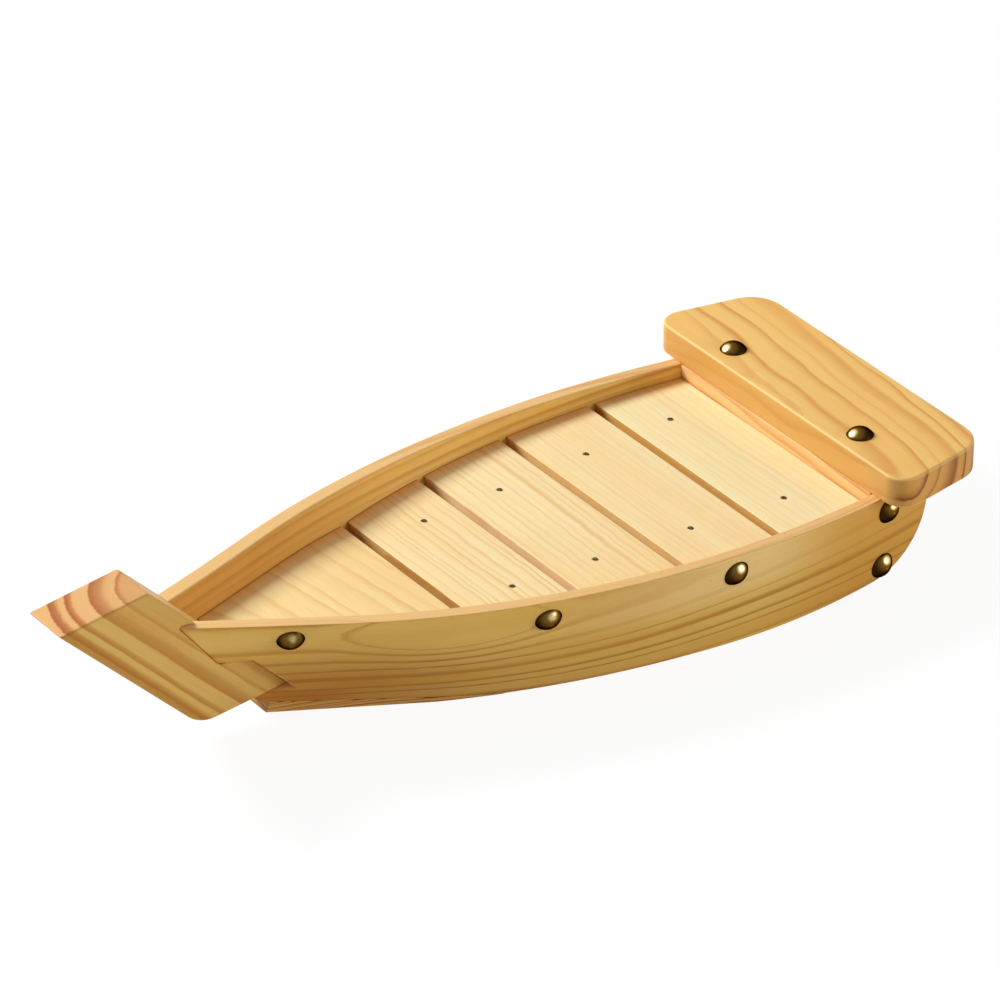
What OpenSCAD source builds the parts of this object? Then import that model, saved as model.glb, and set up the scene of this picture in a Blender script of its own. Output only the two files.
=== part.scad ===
// Wooden serving boat: two bent planks on a raked stem, slatted deck, stern board, domed tacks.
// Millimetres, +Z up, bow at -X, origin at the middle of the base.

/* [Hull] */
// Overall length from the stem head to the back of the stern board
boat_length = 423; // [405:1:440]
// Height of the deck surface above the table
deck_height = 40; // [36:0.5:44]
// Height of the plank tops above the deck at the stern
rail_height = 6.3; // [5:0.1:8]
// Thickness of the side planks
plank_thick = 6.5; // [5:0.1:8]
// Steady climb of the rails towards the bow, in degrees
sheer_slope = 1.6; // [1:0.1:2.2]
// Extra lift of the rail line at the stem head
sheer_lift = 15; // [10:0.5:20]
// Lean of the planks outward, measured across the boat
plank_flare = 6.2; // [5:0.1:8]
// Rake of the line the planks are bent around
bend_rake = 34.9; // [33:0.1:37]
// Angle at which each plank closes on the stem
bow_angle = 33.19; // [30:0.05:36]
// Radius of the rounded lower corner at the stern end of the planks
stern_round = 36; // [24:1:38]

/* [Stem] */
// Width of the stem across the boat
stem_width = 24.5; // [22:0.5:28]
// Depth of the stem bar, square to its length
stem_depth = 34.3; // [32:0.1:37]
// Height of the stem head at its forward corner
stem_height = 79.5; // [75:0.5:84]
// Height of the stem foot above the table at its forward corner
stem_foot = 13.5; // [11:0.5:17]
// Slope of the sawn stem foot
stem_foot_slope = 6.5; // [0:0.5:8]
// Slope of the sawn stem head
stem_head_slope = 8; // [0:0.5:15]
// Radius of the rounded foot corner of the stem
stem_foot_round = 16; // [4:0.5:20]

/* [Deck] */
// Width of one deck slat
slat_width = 44; // [40:0.5:46]
// Gap between slats
slat_gap = 4; // [2:0.25:5]
// Thickness of the deck boards
slat_thick = 7.5; // [6:0.25:9]
// Tilt of the bow deck board, rising to the stem
bow_board_tilt = 5.5; // [0:0.25:6]
// Width of the bearers under the slats
bearer_width = 12; // [8:0.5:16]
// Depth of the bearers under the slats
bearer_depth = 10; // [9:0.5:14]
// Half distance between the nail rows at the first slat
nail_half_spacing = 40.6; // [36:0.2:46]
// Angle at which the nail rows close towards the bow
nail_row_angle = 3.5; // [0:0.25:6]
// Thickness of the bottom board
bottom_thick = 5.5; // [4:0.25:7]

/* [Stern] */
// Thickness of the transom
transom_thick = 16.5; // [12:0.5:20]
// Depth of the stern board, front to back
seat_depth = 53; // [48:0.5:58]
// Half length of the stern board at its front edge
seat_half_length = 89; // [84:0.5:96]
// Thickness of the stern board
seat_thick = 14.5; // [11:0.25:17]
// Angle at which the stern board narrows to the back
seat_taper = 11; // [0:0.5:16]
// Radius of the back corners of the stern board
seat_back_round = 16; // [6:0.5:20]
// Radius of the front corners of the stern board
seat_front_round = 9.5; // [3:0.5:12]

/* [Fasteners] */
// Diameter of the domed tack heads
tack_head = 12; // [9:0.25:14]
// Height of the domed tack heads
tack_dome = 3.4; // [2:0.1:4]
// Diameter of the tack shanks
tack_shank = 2; // [1.6:0.1:2.6]
// Length of the tack shanks in the planks
tack_length = 13; // [11:0.5:16]
// Length of the tack shanks in the stern board
seat_tack_length = 26; // [22:0.5:32]
// Diameter of the deck nail heads
nail_head = 2.4; // [1.8:0.1:3]
// Diameter of the deck nail shanks
nail_shank = 1.4; // [1:0.1:1.8]
// Length of the deck nails
nail_length = 14; // [12:0.5:15]
// Clearance of fitted wood on curved faces
fit_gap = 0.2; // [0.1:0.05:0.3]
// Clearance around tack and nail shanks
hole_gap = 0.1; // [0.05:0.05:0.2]

/* [Hidden] */
$fn = 96;
big = 600;
bend_fn = 240;
sheer_steps = 24;
stern_steps = 24;
rocker_steps = 8;
corner_inset = 0.02;

// stations along the length
hull_ahead = 6.5;
half_length = boat_length / 2;
seat_front = half_length - seat_depth;
transom_front = seat_front;
deck_aft = seat_front - fit_gap;
hull_x = seat_front - hull_ahead;

// levels above the table
notch_drop = 1;
rail_top = deck_height + rail_height;
deck_under = deck_height - slat_thick;
notch_height = deck_height - notch_drop;

// stem bar, raked at forty-five degrees, so its run is its drop
stem_run = stem_depth / sin(45);
stem_drop = stem_height - stem_foot;
head_rise = stem_run * tan(stem_head_slope) / (1 + tan(stem_head_slope));
foot_rise = stem_run * tan(stem_foot_slope) / (1 + tan(stem_foot_slope));
stem_back = stem_run + stem_height - deck_height - half_length;

// plank bend, drawn square to the raked line it is bent around:
// an arc, then a straight run that leaves it to close on the back of the stem
bend_back = 20.1;
bend_half_width = 75;
bow_spare = 30;
bow_inset = 0.02;
close_run = (hull_x - stem_back) * cos(bend_rake) - bend_back;
bend_radius = (close_run * sin(bow_angle) - bend_half_width * cos(bow_angle)) / (1 - cos(bow_angle));
bend_x = -bend_back;
bend_y = bend_radius - bend_half_width;
bow_run = (close_run - bend_radius * sin(bow_angle)) / cos(bow_angle) + bow_spare;
bow_turn = 270 - bow_angle;
stern_sweep = 34;

// ends and lower edges of the planks in side view
end_rake = 53;
end_lap = 14.5;
end_rise = 1.8;
stern_overhang = 30.5;
stern_rise_run = 34;
stern_rise = 6;
rocker_round = 680;
forefoot_run = 107;
forefoot_rise = 6.3;
end_x = stem_back - end_lap;
end_z = deck_height + end_rise;
plank_back = seat_front + stern_overhang;
stern_rise_x = hull_x - stern_rise_run;
rocker_x = stern_rise_x - rocker_round * tan(stern_rise / 2);
rocker_run = rocker_round * sin(stern_rise);
forefoot_x = stem_back + forefoot_run;

// underside of the bottom board, lifted at both ends
tip_back = 13.5;
bow_rise_run = 79.5;
bow_rise = 3;
bottom_tip = stem_back + tip_back;
bow_rise_x = stem_back + bow_rise_run;

// tack places as length station and height
bow_tack_back = 12.5;
bow_tack_rise = 10.3;
slat_4_tack_rise = 2;
slat_2_tack_shift = 8;
slat_2_tack_drop = 0.7;
top_tack_back = 6;
top_tack_drop = 1.2;
low_tack_back = 4;
low_tack_drop = 28.5;
bow_tack = [stem_back + bow_tack_back, deck_height + bow_tack_rise];
slat_4_tack = [slat_middle(4), deck_height + slat_4_tack_rise];
slat_2_tack = [slat_middle(2) - slat_2_tack_shift, deck_height - slat_2_tack_drop];
transom_top_tack = [transom_front + top_tack_back, deck_height - top_tack_drop];
transom_low_tack = [transom_front + low_tack_back, deck_height - low_tack_drop];
seat_tack_x = transom_front + transom_thick * 0.7;
seat_tack_y = 45;
shank_cover = 0.8;
tack_point = 2.5;
clipped_length = plank_thick - shank_cover;

// nails
nail_sink = 0.4;
nail_proud = 0.2;
nail_point = 2;
nail_offset = [-3.3, -2.5, -2.2, 4.8];

wood_pale = [0.95, 0.82, 0.6];
wood_tan = [0.78, 0.62, 0.36];
wood_orange = [0.9, 0.72, 0.44];
brass_dark = [0.36, 0.29, 0.14];

function slat_front(i) = deck_aft - i * slat_width - (i - 1) * slat_gap;
function slat_middle(i) = slat_front(i) + slat_width / 2;
function sheer_z(x) = rail_top + max(0, hull_x - x) * tan(sheer_slope)
    + sheer_lift * pow(max(0, hull_x - x) / (hull_x + half_length), 3);
function rocker_station(i) = rocker_x + i * rocker_run / rocker_steps;
function rocker_z(x) =
    let (run = min(max(0, x - rocker_x), rocker_run))
        rocker_round - sqrt(rocker_round * rocker_round - run * run)
        + max(0, x - rocker_x - rocker_run) * tan(stern_rise);
function under_z(x) = rocker_z(x) + max(0, bow_rise_x - x) * tan(bow_rise);
function nail_x(i) = slat_middle(i) + nail_offset[i - 1];
function nail_y(i) = nail_half_spacing - (nail_x(1) - nail_x(i)) * tan(nail_row_angle);

// a place on the outer plank face from its length station and height:
// across the bend, which way the face looks, and along the raked line
function bend_p(x, z) = (x - hull_x) * cos(bend_rake) + (z - deck_height) * sin(bend_rake);
function bow_p() = bend_x + bend_radius * cos(bow_turn);
function face_turn(p) = p < bow_p() ? bow_turn : 360 - acos((p - bend_x) / bend_radius);
function bow_back(p) = p < bow_p() ? (bow_p() - p) / cos(bow_angle) : 0;
function bend_q(p) = bend_y + bend_radius * sin(face_turn(p)) + bow_back(p) * sin(bow_angle);
function along_line(x, z) =
    ((z - deck_height) * cos(bend_rake) - (x - hull_x) * sin(bend_rake)
     - bend_q(bend_p(x, z)) * sin(plank_flare)) / cos(plank_flare);

// corner rounding: the two tangent points and the centre at a corner
function toward(a, b) = (b - a) / norm(b - a);
function half_corner(a, b, c) = acos(toward(b, a) * toward(b, c)) / 2;
function tangents(a, b, c, r) = r == 0 ? [b]
    : [b + toward(b, a) * r / tan(half_corner(a, b, c)), b + toward(b, c) * r / tan(half_corner(a, b, c))];
function corner_centre(a, b, c, r) =
    b + toward([0, 0], toward(b, a) + toward(b, c)) * r / sin(half_corner(a, b, c));

// a flat outline with a radius at each corner;
// the circles are a hair small, so that they cross the cut corners clearly
module rounded_outline(points, radii) {
    n = len(points);
    polygon([for (i = [0 : n - 1])
        each tangents(points[(i + n - 1) % n], points[i], points[(i + 1) % n], radii[i])]);
    for (i = [0 : n - 1])
        if (radii[i] > 0) {
            centre = corner_centre(points[(i + n - 1) % n], points[i], points[(i + 1) % n], radii[i]);
            inward = centre - points[i];
            translate(centre)
                rotate(atan2(inward[1], inward[0]))
                    circle(radii[i] - corner_inset);
        }
}

// side view swept across the whole width
module across(width = big) {
    rotate([90, 0, 0])
        linear_extrude(height = width, center = true)
            children();
}

// the frame of the raked line that the port plank is bent around
module bend_frame() {
    translate([hull_x, 0, deck_height])
        rotate([plank_flare, -bend_rake, 0])
            children();
}

// all that is inboard of a depth below the outer plank face;
// the straight run is set in a hair, so that it crosses the arc clearly
module bend_region(depth) {
    translate([bend_x, bend_y]) {
        circle(bend_radius - depth, $fn = bend_fn);
        rotate(bow_turn)
            translate([0, -bow_run])
                square([bend_radius - depth - bow_inset, bow_run]);
    }
}

// the part of the bend that is used, from the bow end to the stern
module bend_window() {
    reach = 2 * bend_radius;
    sweep = stern_sweep + bow_angle;
    translate([bend_x, bend_y])
        rotate(bow_turn)
            polygon([[0, 0],
                     [0, -bow_run],
                     [reach, -bow_run],
                     [reach, reach * sin(sweep)],
                     [reach * cos(sweep), reach * sin(sweep)]]);
}

// slab between two depths below the outer plank face
module bent_slab(outer, inner) {
    bend_frame()
        linear_extrude(height = big, center = true)
            intersection() {
                difference() {
                    bend_region(outer);
                    bend_region(inner);
                }
                bend_window();
            }
}

module inboard(depth) {
    bend_frame()
        linear_extrude(height = big, center = true)
            bend_region(depth);
}

// what is inboard of both planks at a depth below their outer faces
module between_planks(depth) {
    intersection() {
        children();
        inboard(depth);
        mirror([0, 1, 0])
            inboard(depth);
    }
}

// side view that the planks fill, from the raked front ends to the rounded stern, under the sheer
module plank_side_view() {
    sheer_step = (hull_x + half_length) / sheer_steps;
    stern_low = [plank_back, under_z(plank_back)];
    stern_centre = corner_centre([stern_rise_x, 0], stern_low, [plank_back, big], stern_round);
    stern_turn = (90 - stern_rise) / stern_steps;
    intersection() {
        polygon([[end_x + end_z / tan(end_rake), 0],
                 for (i = [0 : rocker_steps])
                     [rocker_station(i), rocker_z(rocker_station(i))],
                 for (i = [0 : stern_steps])
                     let (turn = i * stern_turn + stern_rise)
                         stern_centre + stern_round * [sin(turn), -cos(turn)],
                 [plank_back, big],
                 [end_x - (big - end_z) / tan(end_rake), big]]);
        polygon([[-half_length, -big],
                 [big, -big],
                 [big, rail_top],
                 for (i = [0 : sheer_steps])
                     [hull_x - i * sheer_step, sheer_z(hull_x - i * sheer_step)]]);
    }
}

// all that is under the lower edges of the planks at the bow
module forefoot() {
    across()
        translate([forefoot_x, 0])
            rotate(-forefoot_rise)
                translate([-big, -big])
                    square(big);
}

// side view between the underside of the bottom board and a height over it
module over_bottom(thick) {
    back = transom_front + transom_thick;
    stations = [bottom_tip, bow_rise_x, for (i = [0 : rocker_steps]) rocker_station(i), back];
    last = len(stations) - 1;
    polygon([for (i = [0 : last]) [stations[i], under_z(stations[i])],
             for (i = [last : -1 : 0]) [stations[i], under_z(stations[i]) + thick]]);
}

// side view of the stem bar
module stem_side_view(grow = 0) {
    x = -half_length;
    rounded_outline([[x, stem_height],
                     [x + stem_drop, stem_foot],
                     [x + stem_drop + stem_run - foot_rise + grow, stem_foot + foot_rise],
                     [x + stem_run - head_rise + grow, stem_height + head_rise]],
                    [0, stem_foot_round, 0, 0]);
}

// the planks stop behind the stem under the notch and lap its sides over it
module plank_body(outer, inner) {
    intersection() {
        bent_slab(outer, inner);
        across()
            plank_side_view();
        translate([-big, -2 * big, -big])
            cube(2 * big);
    }
}

module stem_notch() {
    intersection() {
        across()
            stem_side_view(fit_gap);
        translate([-big, -big, 0])
            cube([2 * big, 2 * big, notch_height]);
    }
}

// tack with its head on a face, pointing down the axis
module tack(length) {
    ball = (tack_head * tack_head / 4 + tack_dome * tack_dome) / (2 * tack_dome);
    intersection() {
        translate([0, 0, tack_dome - ball])
            sphere(ball);
        cylinder(d = tack_head + 1, h = tack_dome + 1);
    }
    translate([0, 0, tack_point - length])
        cylinder(d = tack_shank, h = length - tack_point);
    translate([0, 0, -length])
        cylinder(d1 = tack_shank / 4, d2 = tack_shank, h = tack_point);
}

module tack_hole(length) {
    translate([0, 0, -length - hole_gap])
        cylinder(d = tack_shank + 2 * hole_gap, h = length + 1);
}

// stand something square on the port plank's outer face
module on_plank(place) {
    p = bend_p(place[0], place[1]);
    bend_frame()
        translate([p, bend_q(p), along_line(place[0], place[1])])
            rotate([0, 0, face_turn(p)])
                rotate([0, 90, 0])
                    children();
}

module port_tack_set() {
    for (place = [bow_tack, slat_4_tack, slat_2_tack])
        on_plank(place)
            tack(clipped_length);
    for (place = [transom_top_tack, transom_low_tack])
        on_plank(place)
            tack(tack_length);
}

module port_tack_holes() {
    for (place = [bow_tack, slat_4_tack, slat_2_tack])
        on_plank(place)
            tack_hole(clipped_length);
    for (place = [transom_top_tack, transom_low_tack])
        on_plank(place)
            tack_hole(tack_length);
}

module both_sides() {
    children();
    mirror([0, 1, 0])
        children();
}

module plank() {
    difference() {
        plank_body(0, plank_thick);
        stem_notch();
        forefoot();
        port_tack_holes();
    }
}

module deck_slat(i) {
    color(wood_pale)
        difference() {
            between_planks(plank_thick + fit_gap)
                translate([slat_front(i), -big / 2, deck_under])
                    cube([slat_width, big, slat_thick]);
            both_sides()
                translate([nail_x(i), -nail_y(i), deck_height])
                    nail_hole();
        }
}

// nail standing in the deck, its head just under the surface
module nail() {
    translate([0, 0, -nail_sink])
        cylinder(d = nail_head, h = nail_sink + nail_proud);
    translate([0, 0, nail_point - nail_length])
        cylinder(d = nail_shank, h = nail_length - nail_point - nail_sink);
    translate([0, 0, -nail_length])
        cylinder(d1 = nail_shank / 4, d2 = nail_shank, h = nail_point);
}

module nail_hole() {
    translate([0, 0, -nail_sink])
        cylinder(d = nail_head + 2 * hole_gap, h = nail_sink + 1);
    translate([0, 0, -nail_length - hole_gap])
        cylinder(d = nail_shank + 2 * hole_gap, h = nail_length + 1);
}

module deck_bearer() {
    run = nail_x(1) - slat_front(4);
    color(wood_tan)
        difference() {
            between_planks(plank_thick + fit_gap)
                translate([nail_x(1), -nail_half_spacing, deck_under - bearer_depth])
                    rotate([0, 0, -nail_row_angle])
                        translate([-run, -bearer_width / 2, 0])
                            cube([run + slat_width / 3, bearer_width, bearer_depth]);
            for (i = [1 : 4])
                translate([nail_x(i), -nail_y(i), deck_height])
                    nail_hole();
        }
}

module bow_stem() {
    color(wood_orange)
        difference() {
            across(stem_width)
                stem_side_view();
            both_sides()
                intersection() {
                    plank_body(-big / 20, plank_thick + fit_gap);
                    translate([-big, -big, notch_height])
                        cube(2 * big);
                }
        }
}

module port_plank() {
    color(wood_tan)
        plank();
}

module starboard_plank() {
    color(wood_tan)
        mirror([0, 1, 0])
            plank();
}

module transom() {
    color(wood_orange)
        difference() {
            between_planks(plank_thick + fit_gap)
                translate([transom_front, -big / 2, 0])
                    cube([transom_thick, big, rail_top]);
            across()
                translate([0, -deck_height])
                    over_bottom(deck_height + bottom_thick);
            both_sides() {
                port_tack_holes();
                translate([seat_tack_x, -seat_tack_y, rail_top + seat_thick])
                    tack_hole(seat_tack_length);
            }
        }
}

module stern_seat() {
    back_half = seat_half_length - seat_depth * tan(seat_taper);
    color(wood_orange)
        difference() {
            translate([0, 0, rail_top])
                linear_extrude(height = seat_thick)
                    rounded_outline([[seat_front, -seat_half_length],
                                     [half_length, -back_half],
                                     [half_length, back_half],
                                     [seat_front, seat_half_length]],
                                    [seat_front_round, seat_back_round, seat_back_round, seat_front_round]);
            both_sides()
                translate([seat_tack_x, -seat_tack_y, rail_top + seat_thick])
                    tack_hole(seat_tack_length);
        }
}

// follows the lower edges of the planks, and fills the wedge under them at the bow
module bottom_board() {
    color(wood_tan) {
        between_planks(plank_thick + fit_gap)
            across()
                over_bottom(bottom_thick);
        between_planks(0)
            intersection() {
                forefoot();
                across()
                    over_bottom(deck_height);
            }
    }
}

module deck_slat_1() {
    deck_slat(1);
}

module deck_slat_2() {
    deck_slat(2);
}

module deck_slat_3() {
    deck_slat(3);
}

module deck_slat_4() {
    deck_slat(4);
}

module bow_deck_board() {
    color(wood_pale)
        difference() {
            between_planks(plank_thick + fit_gap)
                translate([slat_front(4) - slat_gap, 0, deck_height])
                    rotate([0, bow_board_tilt, 0])
                        translate([-half_length, -big / 2, -slat_thick])
                            cube([half_length, big, slat_thick]);
            across()
                stem_side_view(fit_gap);
            translate([-big - half_length + stem_drop, -big / 2, stem_foot])
                cube(big);
        }
}

module port_deck_bearer() {
    deck_bearer();
}

module starboard_deck_bearer() {
    mirror([0, 1, 0])
        deck_bearer();
}

module port_tacks() {
    color(brass_dark)
        port_tack_set();
}

module starboard_tacks() {
    color(brass_dark)
        mirror([0, 1, 0])
            port_tack_set();
}

module seat_tacks() {
    color(brass_dark)
        both_sides()
            translate([seat_tack_x, -seat_tack_y, rail_top + seat_thick])
                tack(seat_tack_length);
}

module deck_nails() {
    color(brass_dark)
        both_sides()
            for (i = [1 : 4])
                translate([nail_x(i), -nail_y(i), deck_height])
                    nail();
}

bow_stem();
port_plank();
starboard_plank();
transom();
stern_seat();
bottom_board();
deck_slat_1();
deck_slat_2();
deck_slat_3();
deck_slat_4();
bow_deck_board();
port_deck_bearer();
starboard_deck_bearer();
port_tacks();
starboard_tacks();
seat_tacks();
deck_nails();
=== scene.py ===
"""Looks of a wooden sushi boat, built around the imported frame. Metres, bow at -X, port at -Y."""
import math

import bpy
from mathutils import Matrix, Vector


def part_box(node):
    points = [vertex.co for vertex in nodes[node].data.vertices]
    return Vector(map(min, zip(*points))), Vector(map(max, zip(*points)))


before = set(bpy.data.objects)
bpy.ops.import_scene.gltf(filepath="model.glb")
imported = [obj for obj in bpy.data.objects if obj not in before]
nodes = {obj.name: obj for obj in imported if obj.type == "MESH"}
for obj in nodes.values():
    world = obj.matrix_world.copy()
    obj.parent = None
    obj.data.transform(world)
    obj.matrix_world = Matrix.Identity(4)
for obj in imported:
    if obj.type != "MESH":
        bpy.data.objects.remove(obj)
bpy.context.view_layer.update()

scene = bpy.context.scene
MM = 0.001
X = Vector((1.0, 0.0, 0.0))
Y = Vector((0.0, 1.0, 0.0))
Z = Vector((0.0, 0.0, 1.0))
WHITE = (1.0, 1.0, 1.0, 1.0)

# the bend of the planks, as the solids have it, in millimetres
HULL_X = 152.0
DECK_Z = 40.0
HULL = Vector((HULL_X, 0.0, DECK_Z))
BEND_RAKE = math.radians(34.9)
PLANK_FLARE = math.radians(6.2)
BOW_ANGLE = math.radians(33.19)
BEND_RADIUS = 305.99
BEND_X = -20.1
BEND_HALF_WIDTH = 75.0
BEND_Y = BEND_RADIUS - BEND_HALF_WIDTH
BEND_TURN = Matrix.Rotation(-BEND_RAKE, 3, "Y") @ Matrix.Rotation(PLANK_FLARE, 3, "X")
PLANK_THICK = 6.5
GRAIN_LEAN = math.radians(32.5)
PORT = 1.0
STARBOARD = -1.0


def srgb(r, g, b):
    """A linear colour from 0 to 255 screen values."""
    def linear(value):
        value /= 255.0
        return value / 12.92 if value <= 0.04045 else ((value + 0.055) / 1.055) ** 2.4
    return (linear(r), linear(g), linear(b), 1.0)


class Graph:
    """Short calls for building the node tree of a material or a world."""

    def __init__(self, owner):
        owner.use_nodes = True
        self.owner = owner
        self.tree = owner.node_tree
        self.tree.nodes.clear()

    def node(self, kind, **settings):
        made = self.tree.nodes.new(kind)
        for key, value in settings.items():
            setattr(made, key, value)
        return made

    def put(self, socket, value):
        """Links a socket to another one, or sets its value."""
        if isinstance(value, bpy.types.NodeSocket):
            self.tree.links.new(value, socket)
        else:
            socket.default_value = value

    def feed(self, made, values):
        for socket, value in zip(made.inputs, values):
            self.put(socket, value)

    def math(self, operation, *values, clamp=False):
        made = self.node("ShaderNodeMath", operation=operation, use_clamp=clamp)
        self.feed(made, values)
        return made.outputs[0]

    def vector(self, operation, *values, out=0):
        made = self.node("ShaderNodeVectorMath", operation=operation)
        self.feed(made, values)
        return made.outputs[out]

    def dot(self, a, b):
        return self.vector("DOT_PRODUCT", a, b, out=1)

    def length(self, vector):
        return self.vector("LENGTH", vector, out=1)

    def scaled(self, vector, factor):
        made = self.node("ShaderNodeVectorMath", operation="SCALE")
        self.put(made.inputs[0], vector)
        made.inputs["Scale"].default_value = factor
        return made.outputs[0]

    def combine(self, x, y, z):
        made = self.node("ShaderNodeCombineXYZ")
        self.feed(made, (x, y, z))
        return made.outputs[0]

    def noise(self, vector, scale=1.0, detail=2.0, roughness=0.5, out=0):
        made = self.node("ShaderNodeTexNoise", noise_dimensions="3D")
        self.put(made.inputs["Vector"], vector)
        made.inputs["Scale"].default_value = scale
        made.inputs["Detail"].default_value = detail
        made.inputs["Roughness"].default_value = roughness
        return made.outputs[out]

    def noise_along(self, value, scale):
        made = self.node("ShaderNodeTexNoise", noise_dimensions="1D")
        self.put(made.inputs["W"], value)
        made.inputs["Scale"].default_value = scale
        made.inputs["Detail"].default_value = 1.0
        return made.outputs[0]

    def chance(self, value):
        """A number from 0 to 1 that jumps with the value."""
        made = self.node("ShaderNodeTexWhiteNoise", noise_dimensions="1D")
        self.put(made.inputs["W"], value)
        return made.outputs[0]

    def ramp(self, value, stops):
        """Grey levels at places from 0 to 1, with straight runs between them."""
        made = self.node("ShaderNodeValToRGB")
        self.put(made.inputs[0], value)
        elements = made.color_ramp.elements
        while len(elements) < len(stops):
            elements.new(0.5)
        for element, (place, grey) in zip(elements, stops):
            element.position = place
            element.color = (grey, grey, grey, 1.0)
        return made.outputs[0]

    def between(self, value, none, full):
        """A smooth step from 0 at one value to 1 at the other, which may be the lower one."""
        made = self.node("ShaderNodeMapRange", interpolation_type="SMOOTHSTEP")
        self.put(made.inputs[0], value)
        made.inputs[1].default_value = none
        made.inputs[2].default_value = full
        return made.outputs[0]

    def pick(self, switch, low, high):
        made = self.node("ShaderNodeMix", data_type="FLOAT")
        self.put(made.inputs[0], switch)
        self.put(made.inputs[2], low)
        self.put(made.inputs[3], high)
        return made.outputs[0]

    def blend(self, share, low, high, how="MIX"):
        made = self.node("ShaderNodeMix", data_type="RGBA", blend_type=how)
        self.put(made.inputs[0], share)
        self.put(made.inputs[6], low)
        self.put(made.inputs[7], high)
        return made.outputs[2]

    def position(self):
        """The place in the frame, in millimetres."""
        return self.scaled(self.node("ShaderNodeTexCoord").outputs["Object"], 1.0 / MM)

    def normal(self):
        return self.node("ShaderNodeNewGeometry").outputs["Normal"]

    def relief(self, height, strength, depth):
        """A normal for a light relief, its depth in millimetres."""
        made = self.node("ShaderNodeBump")
        made.inputs["Strength"].default_value = strength
        made.inputs["Distance"].default_value = depth * MM
        self.put(made.inputs["Height"], height)
        return made.outputs[0]

    def seen(self):
        """One for rays that show a surface: from the camera, or by way of gloss or glass."""
        path = self.node("ShaderNodeLightPath")
        beyond = self.math("MAXIMUM", path.outputs["Is Glossy Ray"], path.outputs["Is Transmission Ray"])
        return self.math("MAXIMUM", path.outputs["Is Camera Ray"], beyond)

    def shader(self, kind, **inputs):
        """A shader with its inputs set. An underscore in an input's name stands for a space."""
        made = self.node(kind)
        for name, value in inputs.items():
            self.put(made.inputs[name.replace("_", " ")], value)
        return made.outputs[0]

    def join(self, kind, *values):
        """A shader made of other shaders."""
        made = self.node(kind)
        self.feed(made, values)
        return made.outputs[0]

    def show(self, shader, kind="ShaderNodeOutputMaterial"):
        """Puts a shader on the surface, and gives the material or world."""
        self.put(self.node(kind).inputs["Surface"], shader)
        return self.owner


def flat_board(along, across, through, centre):
    """Board coordinates of a flat board: millimetres along the grain, across it and through the board."""
    axes = (along, across, through)

    def place(graph):
        offset = graph.vector("SUBTRACT", graph.position(), centre)
        return [graph.dot(offset, axis) for axis in axes], axes
    return place


def rolled_out(graph, side):
    """A plank rolled out flat: length round the bend, height up it, and depth from the outside face."""
    axes = [Vector((axis.x, axis.y * side, axis.z)) for axis in BEND_TURN.col]
    offset = graph.vector("SUBTRACT", graph.position(), HULL)
    p, q, height = [graph.dot(offset, axis) for axis in axes]
    u = graph.math("SUBTRACT", p, BEND_X)
    v = graph.math("SUBTRACT", q, BEND_Y)
    flat = graph.combine(u, v, 0.0)
    # round the arc
    turn = graph.math("ARCTAN2", u, graph.math("MULTIPLY", v, -1.0))
    arc_length = graph.math("MULTIPLY", turn, BEND_RADIUS)
    arc_depth = graph.math("SUBTRACT", BEND_RADIUS, graph.length(flat))
    # along the straight run to the bow
    run = graph.dot(flat, (-math.cos(BOW_ANGLE), math.sin(BOW_ANGLE), 0.0))
    reach = graph.dot(flat, (-math.sin(BOW_ANGLE), -math.cos(BOW_ANGLE), 0.0))
    run_length = graph.math("SUBTRACT", -BEND_RADIUS * BOW_ANGLE, run)
    run_depth = graph.math("SUBTRACT", BEND_RADIUS, reach)
    straight = graph.math("GREATER_THAN", run, 0.0)
    length = graph.pick(straight, arc_length, run_length)
    depth = graph.pick(straight, arc_depth, run_depth)
    return length, height, depth


def bent_board(side):
    """Board coordinates of a plank. The grain runs aslant round the bend, because the bend is raked."""
    def place(graph):
        length, height, depth = rolled_out(graph, side)
        flat = graph.combine(length, height, depth)
        along = graph.dot(flat, (math.cos(GRAIN_LEAN), -math.sin(GRAIN_LEAN), 0.0))
        across = graph.dot(flat, (math.sin(GRAIN_LEAN), math.cos(GRAIN_LEAN), 0.0))
        return [along, across, depth], None
    return place


# noises drawn out along the grain: length along it and width across it, in millimetres
SWAY_WIDTH = 45.0
RAGGED = (14.0, 1.6)
RIPPLE = (9.0, 16.0)
FADE = (70.0, 12.0)
TONE = (130.0, 20.0)
FIBRE = (22.0, 0.55)
MARK = (3.0, 0.8)
SEED_SHIFT = 37.3

# how much those noises do
SWAY_REACH = 3.0
RAGGED_SHARE = 0.12
FADE_LEAST = 0.5
FADE_SPREAD = 0.9
TONE_SPAN = (0.35, 0.72)
FIBRE_SHADE = (0.16, 0.24, 0.36)
FIBRE_GLOSS = 0.16
FIBRE_HEIGHT = 0.6
MARK_SPAN = (0.78, 0.88)
MARK_SHARE = 0.3

# rings: how uneven their widths are, how dark the faintest is and how far the others go beyond it
RING_NOISE = 0.4
RING_JITTER = 2.2
RING_LEAST = 0.45
RING_SPREAD = 0.7
RING_HEIGHT = 0.5
END_LEAST = 0.3
END_SPREAD = 0.7
STREAK_RINGS = 0.7

# depth at the two faces of a plank in which a swerve of the rings is full or gone, in millimetres
SWERVE_SKIN = 1.0

# how squarely a face points a way: where it does not count yet, and where it counts in full
UPWARD = (0.6, 0.9)
SIDEWAYS = (0.7, 0.95)
ENDWAYS = (0.72, 0.94)
OFF_SIDE = (0.1, 0.4)
OFF_FACE = (0.98, 0.85)
# share of the paler rounded edges: wear, and a painted highlight
WEAR_AND_HIGHLIGHT_SHARE = 0.45

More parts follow.
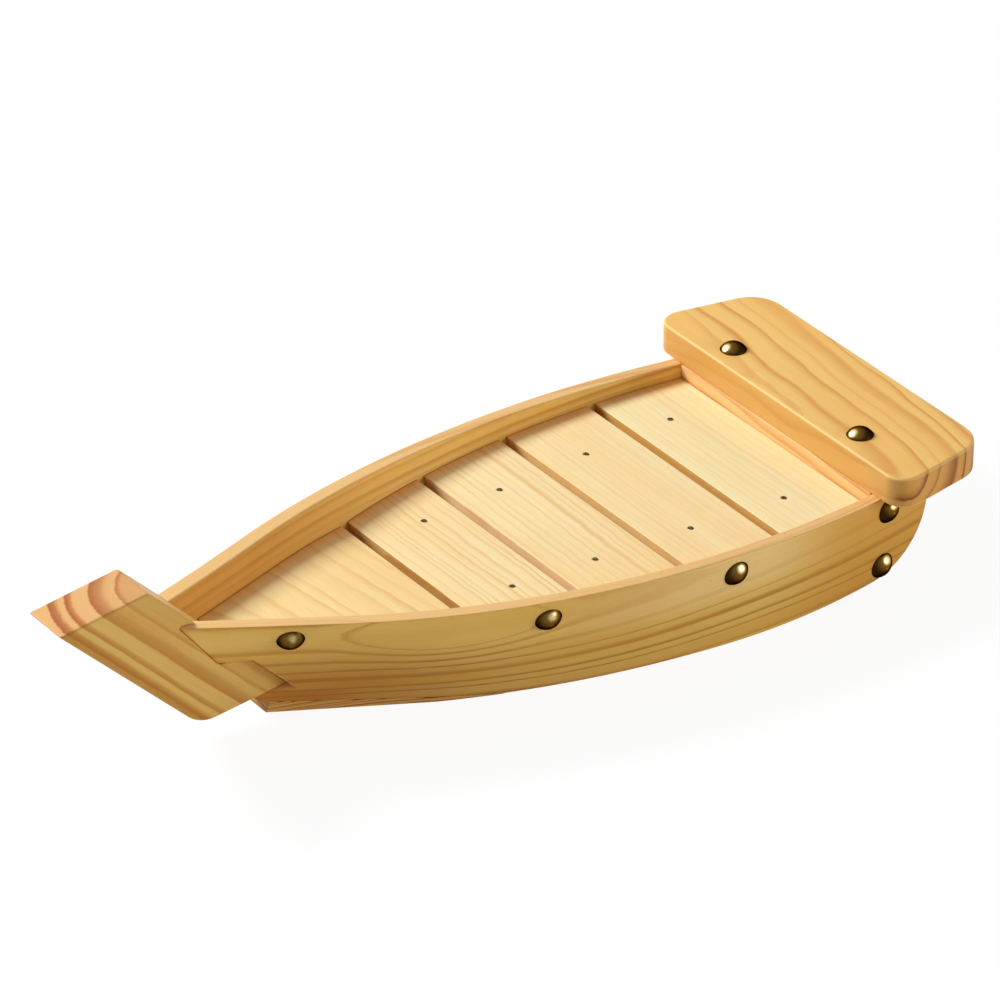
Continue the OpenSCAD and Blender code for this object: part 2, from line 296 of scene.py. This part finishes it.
# satin lacquer with a light relief, and how far painted shade reaches on the deck from the planks: a painted
# shadow of the starboard plank, and painted shade in the corners along both
SATIN = 0.16
RELIEF = 0.12
RELIEF_DEPTH = 0.15
PAINTED_SHADOW_REACH = 11.0
PAINTED_SHADOW_UNDER = 2.0
CORNER_SHADE_REACH = 1.4
CORNER_SHADE = (0.5, 0.32, 0.16, 1.0)


class Pine(Graph):
    """Sawn pine: growth rings round a pith line, pale early wood and darker late wood.

    Lengths are in millimetres. The steps are taken in the order in which they stand here.
    """

    def __init__(self, name, place, seed):
        super().__init__(bpy.data.materials.new(name))
        (self.along, self.across, self.through), self.axes = place(self)
        self.shift = seed * SEED_SHIFT

    def stretched(self, length, width):
        """A place for noise that is drawn out along the grain."""
        return self.combine(self.math("MULTIPLY_ADD", self.along, 1.0 / length, self.shift),
                            self.math("MULTIPLY", self.across, 1.0 / width),
                            self.math("MULTIPLY", self.through, 1.0 / width))

    def uneven(self, size):
        """Drawn out noise on both sides of nought."""
        return self.math("SUBTRACT", self.noise(self.stretched(*size), detail=1.0), 0.5)

    def facing(self, axis):
        """How squarely the surface faces along an axis, either way."""
        return self.math("ABSOLUTE", self.dot(self.normal(), axis))

    def region(self, along=None, across=None, most=1.0):
        """The share of a part of the board. Each pair says where it is none and where it is full."""
        share = most
        for value, span in ((self.along, along), (self.across, across)):
            if span is not None:
                share = self.math("MULTIPLY", self.between(value, *span), share)
        return share

    def grow(self, pith, spacing, wander=1.5, wave=120.0, taper=0.0):
        """Distance from the pith, with a slow wander along the board and ragged rings."""
        wandering = self.noise(self.stretched(wave, SWAY_WIDTH), detail=1.5, roughness=0.4, out=1)
        sway = self.vector("SUBTRACT", wandering, (0.5, 0.5, 0.5))
        offset = self.combine(self.math("SUBTRACT", self.across, pith[0]),
                              self.math("SUBTRACT", self.through, pith[1]), 0.0)
        moved = self.vector("ADD", offset, self.scaled(sway, SWAY_REACH * wander))
        radius = self.length(self.vector("MULTIPLY", moved, (1.0, 1.0, 0.0)))
        radius = self.math("MULTIPLY_ADD", self.along, taper, radius)
        self.radius = self.math("MULTIPLY_ADD", self.uneven(RAGGED), RAGGED_SHARE * spacing, radius)
        self.spacing = spacing

    def ripple(self, reach):
        """Short waves in the rings."""
        self.radius = self.math("MULTIPLY_ADD", self.uneven(RIPPLE), reach, self.radius)

    def swerve(self, along, across, size, reach):
        """Bends the rings round one place on a plank. It fades out through the plank."""
        length, width = size
        off = self.combine(self.math("DIVIDE", self.math("SUBTRACT", self.along, along), length),
                           self.math("DIVIDE", self.math("SUBTRACT", self.across, across), width), 0.0)
        near = self.math("MULTIPLY", self.between(self.length(off), 1.0, 0.0),
                         self.between(self.through, PLANK_THICK - SWERVE_SKIN, SWERVE_SKIN))
        self.radius = self.math("MULTIPLY_ADD", near, reach, self.radius)

    def even_rings(self, share=0.5):
        """Rings of about one width. The late wood darkens slowly over its share and ends sharply."""
        jitter = self.noise_along(self.math("ADD", self.radius, self.shift), RING_NOISE / self.spacing)
        ring = self.math("ADD", self.math("DIVIDE", self.radius, self.spacing),
                         self.math("MULTIPLY", jitter, RING_JITTER))
        # place in a ring, and how dark the wood is there
        stops = [(0.0, 0.5), (0.06, 0.04), (1.0 - share, 0.1), (1.0 - 0.5 * share, 0.5), (0.93, 1.0),
                 (1.0, 0.5)]
        self.band = self.ramp(self.math("FRACT", ring), stops)
        luck = self.chance(self.math("FLOOR", ring))
        self.strength = self.math("MULTIPLY_ADD", luck, RING_SPREAD, RING_LEAST)

    def given_rings(self, inner, outer, stops):
        """Rings placed one by one: a distance from the pith, and how dark the wood is there."""
        span = outer - inner
        place = self.math("DIVIDE", self.math("SUBTRACT", self.radius, inner), span)
        self.band = self.ramp(place, [((stop - inner) / span, grey) for stop, grey in stops])
        self.strength = 1.0

    def paint(self, early, late, contrast, showing=1.0):
        """Colours the faces along the grain. Showing is how much of the rings is seen."""
        patches = self.noise(self.stretched(*FADE), detail=1.0)
        fade = self.math("MULTIPLY_ADD", patches, FADE_SPREAD, FADE_LEAST)
        rings = self.math("MULTIPLY", self.band, self.strength)
        self.figure = self.math("MULTIPLY", rings, fade, clamp=True)
        dark = self.math("MULTIPLY", self.figure, contrast, clamp=True)
        self.dark = self.math("MULTIPLY", dark, showing)
        self.late = late
        self.colour = self.blend(self.dark, early, late)

    def drift(self, tint, most=0.6):
        """Broad patches of a second wood colour."""
        tone = self.noise(self.stretched(*TONE), detail=1.0)
        patches = self.math("MULTIPLY", self.between(tone, *TONE_SPAN), most)
        self.colour = self.blend(patches, self.colour, tint)

    def streak(self, share, tint):
        """Another colour over a part of the board, with its rings still in it. On the stem it is painted
        shade.
        """
        ringed = self.blend(self.math("MULTIPLY", self.dark, STREAK_RINGS), tint, self.late)
        self.colour = self.blend(share, self.colour, ringed)

    def shaded(self, share, shade):
        """Multiplies a share of the colour by a shade."""
        self.colour = self.blend(share, self.colour, shade, how="MULTIPLY")

    def paint_shade_by_depth(self, none, full, shade):
        """Painted shade from one depth through the board to another."""
        self.shaded(self.between(self.through, none, full), shade)

    def edge_grain_and_lit_top(self, early, late):
        """Wood colours of the faces that look up: their edge grain, with a paler lit tone painted on."""
        upward = self.between(self.dot(self.normal(), Z), *UPWARD)
        self.colour = self.blend(upward, self.colour, self.blend(self.figure, early, late))

    def painted_side_shade(self, shade):
        """Painted shade on the narrow sides of a flat board."""
        self.shaded(self.between(self.facing(self.axes[1]), *SIDEWAYS), shade)

    def end_grain(self, early, late, axis=None, span=ENDWAYS):
        """Wood colours of the ends, which face along the grain if no axis is given."""
        end = self.between(self.facing(self.axes[0] if axis is None else axis), *span)
        strength = self.math("MULTIPLY_ADD", self.strength, END_SPREAD, END_LEAST)
        rings = self.math("MULTIPLY", self.band, strength, clamp=True)
        self.colour = self.blend(end, self.colour, self.blend(rings, early, late))

    def worn_and_highlit_edges(self, tint):
        """Paler wood on the rounded edges of a flat board: wear, and a painted highlight."""
        level = self.facing(self.axes[2])
        rounded = self.math("MULTIPLY", self.between(level, *OFF_SIDE), self.between(level, *OFF_FACE))
        self.colour = self.blend(self.math("MULTIPLY", rounded, WEAR_AND_HIGHLIGHT_SHARE), self.colour, tint)

    def paint_plank_shade(self, shade):
        """Painted shadow of the starboard plank on the deck, and painted shade in the corners along both
        planks.
        """
        from_port, from_starboard = [rolled_out(self, side)[2] for side in (PORT, STARBOARD)]
        # painted shadow of the starboard plank
        self.shaded(self.between(from_starboard, PLANK_THICK + PAINTED_SHADOW_REACH, PLANK_THICK - PAINTED_SHADOW_UNDER), shade)
        # painted shade in the corners along both planks
        nearest = self.math("MINIMUM", from_port, from_starboard)
        self.shaded(self.between(nearest, PLANK_THICK + CORNER_SHADE_REACH, PLANK_THICK), CORNER_SHADE)

    def finish(self, roughness=0.42):
        """Fine fibres, warmer where they are darker, a few short resin marks, satin and a light relief."""
        fibre = self.noise(self.stretched(*FIBRE), detail=3.0, roughness=0.6)
        lean = self.math("SUBTRACT", fibre, 0.5)
        fibre_shade = self.combine(*[self.math("MULTIPLY_ADD", lean, reach, 1.0) for reach in FIBRE_SHADE])
        self.shaded(1.0, fibre_shade)
        mark = self.between(self.noise(self.stretched(*MARK), detail=0.0), *MARK_SPAN)
        colour = self.blend(self.math("MULTIPLY", mark, MARK_SHARE), self.colour, self.late)
        rough = self.math("MULTIPLY_ADD", fibre, FIBRE_GLOSS, roughness - 0.5 * FIBRE_GLOSS)
        ridges = self.math("MULTIPLY", self.band, RING_HEIGHT)
        normal = self.relief(self.math("MULTIPLY_ADD", fibre, FIBRE_HEIGHT, ridges), RELIEF, RELIEF_DEPTH)
        return self.show(self.shader("ShaderNodeBsdfPrincipled", Base_Color=colour, Roughness=rough,
                                     Specular_IOR_Level=SATIN, Normal=normal))


# boards: ways along the stem and square to it, plank tops in edge grain with a painted lit tone, and ends
# with painted light
DOWN_BAR = (X - Z).normalized()
UP_BAR = (X + Z).normalized()
RAIL = (srgb(242, 196, 130), srgb(224, 168, 100))
# plank ends: pale, painted light that lifts their shade
BUTT_PAINTED_LIGHT = (srgb(244, 204, 124), srgb(220, 164, 84))


def middle(node):
    """The middle of a node's box, in millimetres."""
    low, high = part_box(node)
    return (low + high) / 2.0 / MM


# the stem's few broad rings: millimetres from the pith, and how dark
STEM_RING_SPAN = (18.0, 53.0)
STEM_RINGS = [
    (19.0, 0.3), (23.6, 0.35), (25.4, 0.8), (26.1, 0.1), (29.0, 0.2), (31.0, 0.6), (34.8, 0.95), (35.5, 0.06),
    (40.4, 0.1), (41.4, 0.7), (43.0, 1.0), (43.7, 0.06), (45.4, 0.12), (46.8, 0.8), (48.8, 1.0), (49.5, 0.06)]

# half the width of the stem
STEM_SIDE = (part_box("bow_stem")[1].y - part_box("bow_stem")[0].y) / 2.0 / MM


def stem_look():
    """Broad rings, and end grain on the sawn head."""
    wood = Pine("stem_pine", flat_board(DOWN_BAR, UP_BAR, Y, middle("bow_stem")), seed=1)
    wood.grow(pith=(33.3, -10.8), spacing=8.5, wander=1.1, wave=70.0)
    wood.given_rings(*STEM_RING_SPAN, STEM_RINGS)
    wood.paint(srgb(240, 197, 109), srgb(190, 119, 40), contrast=0.9)
    wood.drift(srgb(232, 166, 76))
    # painted shade along the front edge and at the foot
    front = wood.region(across=(-13.0, -14.6), most=0.6)
    foot = wood.region(along=(50.0, 66.0), most=0.6)
    wood.streak(wood.math("MAXIMUM", front, foot), srgb(180, 116, 34))
    # painted shade on the starboard side, away from the camera
    wood.paint_shade_by_depth(none=STEM_SIDE - 3.0, full=STEM_SIDE - 0.5, shade=(0.7, 0.71, 0.74, 1.0))
    wood.end_grain(srgb(238, 188, 124), srgb(178, 98, 50), axis=Z)
    return wood.finish()


# port plank: change in the strength of the rings on its upper half, more of it aft, and at the stern
UPPER_LOSS = -0.35
UPPER_LOSS_AFT = -0.35
STERN_LOSS = -0.25

# port plank: share of the sap wood, and its change at the stern
SAP_SHARE = 0.8
SAP_LOSS = -0.7


def port_plank_look():
    """Bold rings low on the plank, fainter ones above and aft."""
    wood = Pine("port_plank_pine", bent_board(PORT), seed=2)
    wood.grow(pith=(26.0, 22.0), spacing=4.4, wander=1.6, wave=190.0, taper=0.012)
    wood.swerve(along=-190.0, across=30.0, size=(64.0, 32.0), reach=-9.0)
    wood.even_rings(share=0.34)
    # the rings lose strength on the upper half, most of all aft, and a little towards the stern
    loss = wood.math("MULTIPLY_ADD", wood.region(along=(-200.0, -60.0)), UPPER_LOSS_AFT, UPPER_LOSS)
    upper = wood.math("MULTIPLY_ADD", wood.region(across=(2.0, 10.0)), loss, 1.0)
    aft = wood.math("MULTIPLY_ADD", wood.region(along=(-220.0, -20.0)), STERN_LOSS, 1.0)
    wood.paint(srgb(246, 204, 108), srgb(182, 118, 28), contrast=1.9,
               showing=wood.math("MULTIPLY", upper, aft))
    wood.drift(srgb(232, 172, 66))
    # darker orange low on the plank towards the bow, running off its lower edge
    low = wood.region(along=(-185.0, -245.0), across=(-8.0, -11.0), most=0.95)
    warm = wood.region(along=(-150.0, -236.0), across=(26.0, -6.0), most=0.7)
    wood.streak(wood.math("MAXIMUM", low, warm), srgb(204, 126, 6))
    # paler sap wood on the upper half from the middle, with less of it at the stern
    sap = wood.region(along=(-170.0, -60.0), across=(2.0, 14.0))
    kept = wood.math("MULTIPLY_ADD", wood.region(along=(-40.0, 10.0)), SAP_LOSS, SAP_SHARE)
    wood.streak(wood.math("MULTIPLY", sap, kept), srgb(255, 218, 144))
    # warmer wood at the stern
    wood.streak(wood.region(along=(-50.0, 10.0), most=0.65), srgb(218, 150, 46))
    # rail tops: edge grain with a painted lit tone
    wood.edge_grain_and_lit_top(*RAIL)
    # pale ends: painted light that lifts their shade
    wood.end_grain(*BUTT_PAINTED_LIGHT, axis=UP_BAR)
    return wood.finish()


def starboard_plank_look():
    """Soft rings on the inside, darker towards the bow, and painted shade on the outside."""
    wood = Pine("starboard_plank_pine", bent_board(STARBOARD), seed=3)
    wood.grow(pith=(-8.0, -24.0), spacing=3.4, wave=190.0, taper=0.01)
    wood.even_rings()
    wood.paint(srgb(255, 214, 122), srgb(198, 128, 44), contrast=0.75)
    wood.drift(srgb(248, 190, 92), most=0.5)
    wood.streak(wood.region(along=(-110.0, -240.0), most=0.7), srgb(208, 137, 40))
    # painted shade on the outside face
    wood.paint_shade_by_depth(none=5.0, full=1.5, shade=(0.66, 0.68, 0.72, 1.0))
    # rail tops: edge grain with a painted lit tone
    wood.edge_grain_and_lit_top(*RAIL)
    # pale ends: painted light that lifts their shade
    wood.end_grain(*BUTT_PAINTED_LIGHT, axis=UP_BAR)
    return wood.finish()


def transom_look():
    """Soft rings across the boat."""
    wood = Pine("transom_pine", flat_board(Y, Z, X, middle("transom")), seed=4)
    wood.grow(pith=(52.0, 26.0), spacing=3.6, wander=2.4, wave=70.0, taper=0.05)
    wood.even_rings(share=0.6)
    wood.paint(srgb(246, 207, 145), srgb(218, 152, 84), contrast=1.0)
    wood.drift(srgb(244, 188, 110), most=0.4)
    wood.end_grain(srgb(214, 160, 96), srgb(164, 100, 50))
    return wood.finish()


# front of the stern board, from its middle, and how much of the rings is seen there
SEAT_FRONT = (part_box("stern_seat")[0].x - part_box("stern_seat")[1].x) / 2.0 / MM
SEAT_FRONT_RINGS = 0.4


def seat_look():
    """Wide wandering rings on top, faint ones on the front, and rounded edges paler with wear and a painted
    highlight.
    """
    wood = Pine("seat_pine", flat_board(Y, X, Z, middle("stern_seat")), seed=5)
    wood.grow(pith=(-24.0, 15.0), spacing=8.2, wander=6.0, wave=60.0, taper=-0.07)
    wood.even_rings(share=0.45)
    behind_front = wood.region(across=(SEAT_FRONT, SEAT_FRONT + 3.0))
    wood.paint(srgb(250, 203, 118), srgb(218, 148, 66), contrast=0.9,
               showing=wood.math("MULTIPLY_ADD", behind_front, 1.0 - SEAT_FRONT_RINGS, SEAT_FRONT_RINGS))
    wood.drift(srgb(248, 188, 100))
    # painted shade on the front and back faces
    wood.painted_side_shade((0.81, 0.74, 0.7, 1.0))
    wood.end_grain(srgb(228, 166, 84), srgb(146, 80, 24), span=(0.4, 0.8))
    # paler rounded edges: wear, and a painted highlight
    wood.worn_and_highlit_edges(srgb(255, 216, 146))
    return wood.finish()


def bottom_look():
    """Close rings, seen as lines on the cut edge."""
    wood = Pine("bottom_pine", flat_board(X, Y, Z, middle("bottom_board")), seed=6)
    wood.grow(pith=(0.0, -60.0), spacing=2.0, wander=0.4, wave=90.0, taper=-0.22)
    wood.even_rings(share=0.6)
    wood.paint(srgb(248, 190, 96), srgb(164, 98, 14), contrast=1.4)
    wood.end_grain(srgb(196, 144, 76), srgb(140, 86, 28))
    return wood.finish()


DECK_EARLY = srgb(255, 231, 176)
# side: the painted shade of each board's narrow sides, in the gaps between them
DECK_BOARDS = {
    "deck_slat_1": dict(pith=(-70.0, -30.0), spacing=3.4, contrast=0.28, side=(0.8, 0.57, 0.29, 1.0),
                        early=srgb(255, 240, 188), patches=0.2),
    "deck_slat_2": dict(pith=(90.0, -40.0), spacing=3.0, contrast=0.34, side=(0.86, 0.75, 0.6, 1.0),
                        wave=90.0),
    "deck_slat_3": dict(pith=(70.0, -14.0), spacing=3.8, contrast=0.6, side=(0.98, 0.95, 0.98, 1.0),
                        wander=1.5),
    "deck_slat_4": dict(pith=(-95.0, -16.0), spacing=4.0, contrast=0.85, side=(0.76, 0.63, 0.42, 1.0),
                        wander=1.6),
    "bow_deck_board": dict(pith=(-70.0, -40.0), spacing=8.5, contrast=0.7, side=(0.88, 0.72, 0.52, 1.0),
                           wander=1.6, wave=110.0, taper=0.1, early=srgb(255, 227, 164)),
}


def deck_look(node, seed, pith, spacing, contrast, side, wander=1.2, wave=80.0, taper=0.0, early=DECK_EARLY,
              patches=0.6):
    """Pale sanded pine with rippled rings across the boat."""
    wood = Pine(node + "_pine", flat_board(Y, X, Z, middle(node)), seed)
    wood.grow(pith, spacing, wander, wave, taper)
    wood.ripple(reach=1.5)
    wood.even_rings()
    wood.paint(early, srgb(228, 174, 100), contrast)
    wood.drift(srgb(254, 215, 150), most=patches)
    # painted shade on the narrow sides, in the gaps between boards
    wood.painted_side_shade(side)
    wood.end_grain(srgb(226, 178, 112), srgb(180, 118, 62))
    # painted shadow of the starboard plank, and painted shade in the corners by the planks
    wood.paint_plank_shade((0.88, 0.49, 0.18, 1.0))
    return wood.finish(roughness=0.5)


def bearer_look(node, seed):
    """Plain pine under the deck."""
    wood = Pine(node + "_pine", flat_board(X, Y, Z, middle(node)), seed)
    wood.grow(pith=(20.0, -26.0), spacing=3.0)
    wood.even_rings()
    wood.paint(srgb(214, 170, 104), srgb(172, 118, 56), contrast=0.7)
    return wood.finish()


# tacks, in millimetres: station and height of those in a plank, as the solids have them
PLANK_TACKS = [(-111.0, 50.3), (-7.7, 42.0), (80.3, 39.3), (164.5, 38.8), (162.5, 11.5)]
TACK_RADIUS = 6.0
TACK_DOME = 3.4
THREE_QUARTER_TURN = math.radians(270.0)
FULL_TURN = math.radians(360.0)


def plank_tack(x, z):
    """The top of a tack's dome on the port plank, from its station and height."""
    p = (x - HULL_X) * math.cos(BEND_RAKE) + (z - DECK_Z) * math.sin(BEND_RAKE)
    bow_p = BEND_X - BEND_RADIUS * math.sin(BOW_ANGLE)
    if p < bow_p:
        turn = THREE_QUARTER_TURN - BOW_ANGLE
        back = (bow_p - p) / math.cos(BOW_ANGLE)
    else:
        turn = FULL_TURN - math.acos((p - BEND_X) / BEND_RADIUS)
        back = 0.0
    q = BEND_Y + BEND_RADIUS * math.sin(turn) + back * math.sin(BOW_ANGLE)
    height = ((z - DECK_Z) * math.cos(BEND_RAKE) - (x - HULL_X) * math.sin(BEND_RAKE)
              - q * math.sin(PLANK_FLARE)) / math.cos(PLANK_FLARE)
    outward = Vector((math.cos(turn), math.sin(turn), 0.0))
    return HULL + BEND_TURN @ (Vector((p, q, height)) + outward * TACK_DOME)


# antique brass: colours, and the distances in millimetres over which they change; the bright spot is wear
# with a painted highlight, the dark far side and rim patina with a painted dark reflection
BRASS_RUBBED_AND_HIGHLIT = srgb(232, 206, 146)
BRASS_MID = srgb(106, 78, 30)
BRASS_PATINA_AND_REFLECTION = srgb(46, 30, 6)
BRASS_RIM_PATINA_AND_REFLECTION = srgb(44, 29, 7)
BRASS_GLINT = srgb(150, 120, 74)
RUB_AND_HIGHLIGHT_SPAN = (0.8, 2.8)
PATINA_AND_REFLECTION_SPAN = (2.4, 6.6)
RIM_PATINA_AND_REFLECTION_SPAN = (5.2, 6.8)
DULL_SPAN = (1.0, 6.0)
PATCH_REACH = 1.2
RIM_PATINA_AND_REFLECTION_SHARE = 0.85
BRASS_ROUGH = 0.32
BRASS_DULLER = 0.06
BRASS_RELIEF = 0.06
BRASS_RELIEF_DEPTH = 0.08
BRASS_PATCHES = 0.5


def brass(name, tops, rub_and_highlight):
    """Antique brass: patina with a painted dark reflection at the rims, and one place beside the top of each
    dome rubbed bright, with a painted highlight.
    """
    graph = Graph(bpy.data.materials.new(name))
    place = graph.position()

    def nearest(points):
        found = None
        for point in points:
            distance = graph.length(graph.vector("SUBTRACT", place, point))
            found = distance if found is None else graph.math("MINIMUM", found, distance)
        return found

    patch = graph.noise(place, scale=BRASS_PATCHES)
    from_rub_and_highlight = nearest([top + rub_and_highlight for top in tops])
    reach = graph.math("MULTIPLY_ADD", graph.math("SUBTRACT", patch, 0.5), PATCH_REACH, from_rub_and_highlight)
    # darker away from the bright spot: patina, with a painted dark reflection
    colour = graph.blend(graph.between(reach, *PATINA_AND_REFLECTION_SPAN), BRASS_MID, BRASS_PATINA_AND_REFLECTION)
    # the bright spot: wear, with a painted highlight
    colour = graph.blend(graph.between(reach, *RUB_AND_HIGHLIGHT_SPAN), BRASS_RUBBED_AND_HIGHLIT, colour)
    # dark rim: patina, with a painted dark reflection
    rim_patina_and_reflection = graph.math("MULTIPLY", graph.between(nearest(tops), *RIM_PATINA_AND_REFLECTION_SPAN), RIM_PATINA_AND_REFLECTION_SHARE)
    colour = graph.blend(rim_patina_and_reflection, colour, BRASS_RIM_PATINA_AND_REFLECTION)
    rough = graph.math("MULTIPLY_ADD", graph.between(reach, *DULL_SPAN), BRASS_DULLER, BRASS_ROUGH)
    return graph.show(graph.shader("ShaderNodeBsdfPrincipled", Base_Color=colour, Metallic=1.0,
                                   Roughness=rough, Specular_Tint=BRASS_GLINT,
                                   Normal=graph.relief(patch, BRASS_RELIEF, BRASS_RELIEF_DEPTH)))


# dull steel: dark and paler patches
STEEL_DARK = srgb(60, 46, 26)
STEEL_PALE = srgb(116, 96, 62)
STEEL_PATCHES = 1.6
STEEL_SPAN = (0.35, 0.65)
STEEL_ROUGH = 0.35
STEEL_DULLER = 0.2


def steel(name):
    """Dull dark steel of small pins."""
    graph = Graph(bpy.data.materials.new(name))
    patch = graph.noise(graph.position(), scale=STEEL_PATCHES)
    colour = graph.blend(graph.between(patch, *STEEL_SPAN), STEEL_DARK, STEEL_PALE)
    rough = graph.math("MULTIPLY_ADD", patch, STEEL_DULLER, STEEL_ROUGH)
    return graph.show(graph.shader("ShaderNodeBsdfPrincipled", Base_Color=colour, Metallic=1.0,
                                   Roughness=rough))


def mirrored(point):
    """The same place on the other side of the boat."""
    return Vector((point.x, -point.y, point.z))


# tops of the domes, and where each dome is rubbed bright and has its painted highlight, from its top
PLANK_RUB_AND_HIGHLIGHT = Vector((0.8, 1.1, 3.6))
SEAT_RUB_AND_HIGHLIGHT = Vector((-3.8, 0.2, -1.3))
port_tops = [plank_tack(x, z) for x, z in PLANK_TACKS]
starboard_tops = [mirrored(top) for top in port_tops]
seat_low, seat_high = (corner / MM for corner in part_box("seat_tacks"))
seat_tack_x = (seat_low.x + seat_high.x) / 2.0
seat_tack_ys = (seat_low.y + TACK_RADIUS, seat_high.y - TACK_RADIUS)
seat_tops = [Vector((seat_tack_x, y, seat_high.z)) for y in seat_tack_ys]

# one material for each node
DECK_SEED = 11
BEARER_SEED = 21
looks = {
    "bow_stem": stem_look(),
    "port_plank": port_plank_look(),
    "starboard_plank": starboard_plank_look(),
    "transom": transom_look(),
    "stern_seat": seat_look(),
    "bottom_board": bottom_look(),
    "port_tacks": brass("port_brass", port_tops, PLANK_RUB_AND_HIGHLIGHT),
    "starboard_tacks": brass("starboard_brass", starboard_tops, mirrored(PLANK_RUB_AND_HIGHLIGHT)),
    "seat_tacks": brass("seat_brass", seat_tops, SEAT_RUB_AND_HIGHLIGHT),
    "deck_nails": steel("nail_steel"),
}
for seed, (node, cut) in enumerate(DECK_BOARDS.items(), start=DECK_SEED):
    looks[node] = deck_look(node, seed, **cut)
for seed, node in enumerate(("port_deck_bearer", "starboard_deck_bearer"), start=BEARER_SEED):
    looks[node] = bearer_look(node, seed)

# in millimetres: how far edges are rounded, and how long the short edges are that are closed before that,
# because the rounding goes astray on them
EDGES = {"bow_stem": 1.2, "port_plank": 0.8, "starboard_plank": 0.8, "transom": 0.5, "stern_seat": 1.4,
         "bottom_board": 0.4, "port_deck_bearer": 0.5, "starboard_deck_bearer": 0.5, "bow_deck_board": 0.5,
         "deck_slat_1": 0.45, "deck_slat_2": 0.45, "deck_slat_3": 0.45, "deck_slat_4": 0.45}
WELDS = {"bow_stem": 0.05, "stern_seat": 0.05, "port_plank": 0.18, "starboard_plank": 0.18}
LEAST_WELD = 0.001
FLAT_ANGLE = math.radians(0.4)
SHARP_ANGLE = math.radians(28.0)
ROUND_STEPS = 3


def dress(node):
    """Gives a solid its material and rounds its edges. Tacks and nails keep theirs."""
    obj = nodes[node]
    obj.data.materials.clear()
    obj.data.materials.append(looks[node])
    weld = obj.modifiers.new("weld", "WELD")
    weld.merge_threshold = WELDS.get(node, LEAST_WELD) * MM
    if node in EDGES:
        clean = obj.modifiers.new("clean", "DECIMATE")
        clean.decimate_type = "DISSOLVE"
        clean.angle_limit = FLAT_ANGLE
        bevel = obj.modifiers.new("edge", "BEVEL")
        bevel.limit_method = "ANGLE"
        bevel.angle_limit = SHARP_ANGLE
        bevel.width = EDGES[node] * MM
        bevel.segments = ROUND_STEPS
        bevel.use_clamp_overlap = False
        bevel.loop_slide = False
        bevel.miter_outer = "MITER_ARC"
        smooth = obj.modifiers.new("normals", "WEIGHTED_NORMAL")
        smooth.keep_sharp = False


for node in nodes:
    dress(node)

# floor, just under the base, in metres
FLOOR_HALF = 6.0
FLOOR_Z = -0.1 * MM
FLOOR_BOUNCE = (0.84, 0.84, 0.84, 1.0)
FLOOR_SHADE = (0.1, 0.1, 0.1, 1.0)
FLOOR_GLOW = 0.93


def floor_look():
    """White where it is seen, apart from a light shadow, and a pale bounce for the rest of the light."""
    graph = Graph(bpy.data.materials.new("floor_white"))
    bounce = graph.shader("ShaderNodeBsdfDiffuse", Color=FLOOR_BOUNCE)
    shade = graph.shader("ShaderNodeBsdfDiffuse", Color=FLOOR_SHADE)
    glow = graph.shader("ShaderNodeEmission", Strength=FLOOR_GLOW)
    white = graph.join("ShaderNodeAddShader", shade, glow)
    return graph.show(graph.join("ShaderNodeMixShader", graph.seen(), bounce, white))


floor_mesh = bpy.data.meshes.new("floor")
floor_mesh.from_pydata([(-FLOOR_HALF, -FLOOR_HALF, FLOOR_Z), (FLOOR_HALF, -FLOOR_HALF, FLOOR_Z),
                        (FLOOR_HALF, FLOOR_HALF, FLOOR_Z), (-FLOOR_HALF, FLOOR_HALF, FLOOR_Z)],
                       [], [(0, 1, 2, 3)])
floor_mesh.materials.append(floor_look())
floor = bpy.data.objects.new("floor", floor_mesh)
scene.collection.objects.link(floor)

# world and lamps
SKY_FILL = 0.28
SKY_SEEN = 1.0
LAMP_AIM = Vector((0.0, 0.0, 0.03))


def studio():
    """A world that is white where it is seen, and a soft fill elsewhere."""
    graph = Graph(bpy.data.worlds.new("studio"))
    level = graph.pick(graph.seen(), SKY_FILL, SKY_SEEN)
    sky = graph.shader("ShaderNodeBackground", Color=WHITE, Strength=level)
    return graph.show(sky, "ShaderNodeOutputWorld")


def lamp(name, place, side, power):
    """A square white lamp that the camera does not see, aimed at the boat."""
    data = bpy.data.lights.new(name, "AREA")
    data.shape = "SQUARE"
    data.size = side
    data.energy = power
    obj = bpy.data.objects.new(name, data)
    scene.collection.objects.link(obj)
    obj.visible_camera = False
    obj.location = place
    obj.rotation_euler = (LAMP_AIM - Vector(place)).to_track_quat("-Z", "Y").to_euler()


scene.world = studio()
lamp("key", (-0.924, 1.496, 1.32), side=0.7, power=51.0)
lamp("side", (1.26, -1.57, 0.46), side=0.8, power=12.0)

# camera fitted to the photo, with its focal length in pixels of an image of IMAGE_PIXELS a side
CAMERA_PLACE = Vector((-1.4635, -2.0878, 1.5943))
CAMERA_RIGHT = Vector((0.81633, -0.57759, 0.0))
CAMERA_UP = Vector((0.29708, 0.41988, 0.85759))
CAMERA_BACK = Vector((-0.49533, -0.70007, 0.51435))
FOCAL_PIXELS = 7098.0
IMAGE_PIXELS = 1000.0
SENSOR_MM = 36.0
CAMERA_REACH = 50.0
camera_data = bpy.data.cameras.new("camera")
camera_data.sensor_width = SENSOR_MM
camera_data.sensor_fit = "HORIZONTAL"
camera_data.lens = FOCAL_PIXELS / IMAGE_PIXELS * SENSOR_MM
camera_data.clip_end = CAMERA_REACH
camera = bpy.data.objects.new("camera", camera_data)
scene.collection.objects.link(camera)
camera_turn = Matrix((CAMERA_RIGHT, CAMERA_UP, CAMERA_BACK)).transposed().to_4x4()
camera.matrix_world = Matrix.Translation(CAMERA_PLACE) @ camera_turn
scene.camera = camera

scene.view_settings.view_transform = "Standard"
